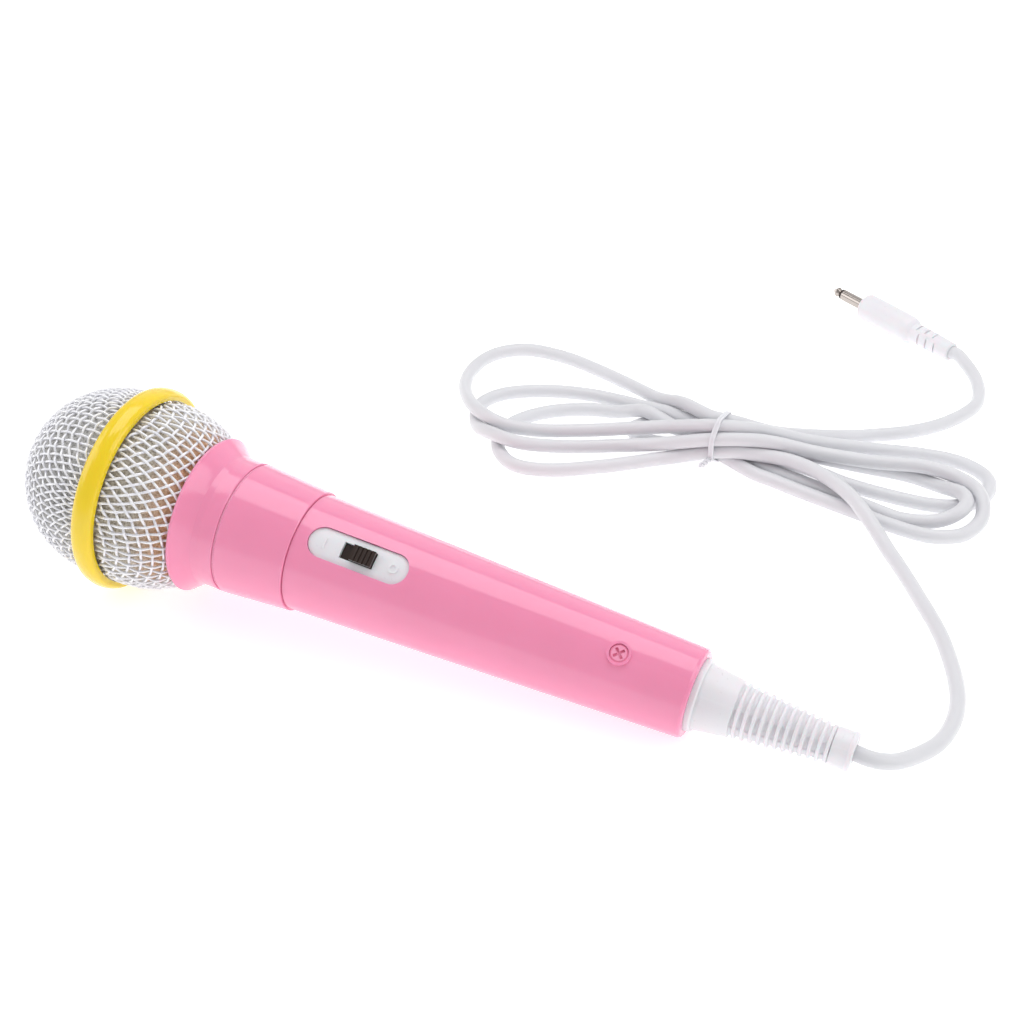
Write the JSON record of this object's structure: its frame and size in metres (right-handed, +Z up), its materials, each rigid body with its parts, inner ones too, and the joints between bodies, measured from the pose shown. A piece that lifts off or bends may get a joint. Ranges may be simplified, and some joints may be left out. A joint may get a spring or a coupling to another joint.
{
  "type": "toy microphone",
  "caption": "Toy karaoke microphone: mesh ball head with a band, tapered handle with a slide switch, ribbed cord boot and a tied cable with a mono jack plug.",
  "frame": {"origin": "where the band round the mesh head rests on the table, under the seam between the head's two half balls", "axes": "+Z up from the table; +X under the microphone from head to tail; +Y towards the side where the tied cable lies"},
  "size_m": [0.2401, 0.2482, 0.0537],
  "materials": {
    "pink_plastic": "gloss",
    "yellow_plastic": "gloss",
    "white_plastic": "satin",
    "black_plastic": "satin",
    "mesh_wire": "satin",
    "grey_foam": "matte",
    "tan_foam": "matte",
    "felt": "matte",
    "screw_metal": "satin",
    "black_rubber": "matte",
    "case_metal": "satin",
    "steel": "satin",
    "magnet": "matte",
    "film": "gloss",
    "brass": "satin",
    "board": "matte",
    "red_insulation": "satin",
    "grey_insulation": "satin",
    "cable_white": "satin",
    "tie_plastic": "gloss",
    "plug_metal": "polished"
  },
  "bodies": {
    "handle": {"neck_sleeve": "pink_plastic", "handle_shell": "pink_plastic", "handle_screw": "screw_metal", "capsule_mount": "black_rubber", "capsule_case": "case_metal", "capsule_cap": "case_metal", "capsule_diaphragm": "film", "capsule_pole": "steel", "capsule_magnet": "magnet", "capsule_yoke": "steel", "capsule_terminals": "brass", "switch_plate": "white_plastic", "switch_frame": "steel", "switch_base": "board", "switch_terminals": "brass", "switch_screws": "steel", "signal_wire": "red_insulation", "switch_wire": "red_insulation", "ground_wire": "grey_insulation", "cord_clamp": "white_plastic", "strain_relief": "white_plastic", "cable": "cable_white", "twist_tie": "tie_plastic", "plug_body": "white_plastic", "plug_sleeve": "plug_metal", "plug_insulator": "black_plastic", "plug_tip": "plug_metal"},
    "washer": {"head_washer": "felt"},
    "head": {"front_grille": "mesh_wire", "rear_grille": "mesh_wire", "grille_band": "yellow_plastic", "front_foam": "grey_foam", "rear_foam": "tan_foam", "grille_collar": "pink_plastic"},
    "switch_slider": {"switch_knob": "black_plastic", "switch_contact": "brass"}
  },
  "joints": [
    {"name": "head_lift", "type": "slide", "parent": "handle", "child": "washer", "axis": [-0.9946, 0, 0.1035], "range_m": [0, 0.005]},
    {"name": "head_unscrew", "type": "hinge", "parent": "washer", "child": "head", "pos_m": [0.03064, 0, 0.02403], "axis": [-0.9946, 0, 0.1035], "range_deg": [0, 720]},
    {"name": "switch_slide", "type": "slide", "parent": "handle", "child": "switch_slider", "axis": [-0.9906, -0.0221, 0.1353], "range_m": [0, 0.0027]}
  ],
  "couplings": [
    {"joint": "head_lift", "follows": "head_unscrew", "m_per_rad": 0.00039769}
  ]
}
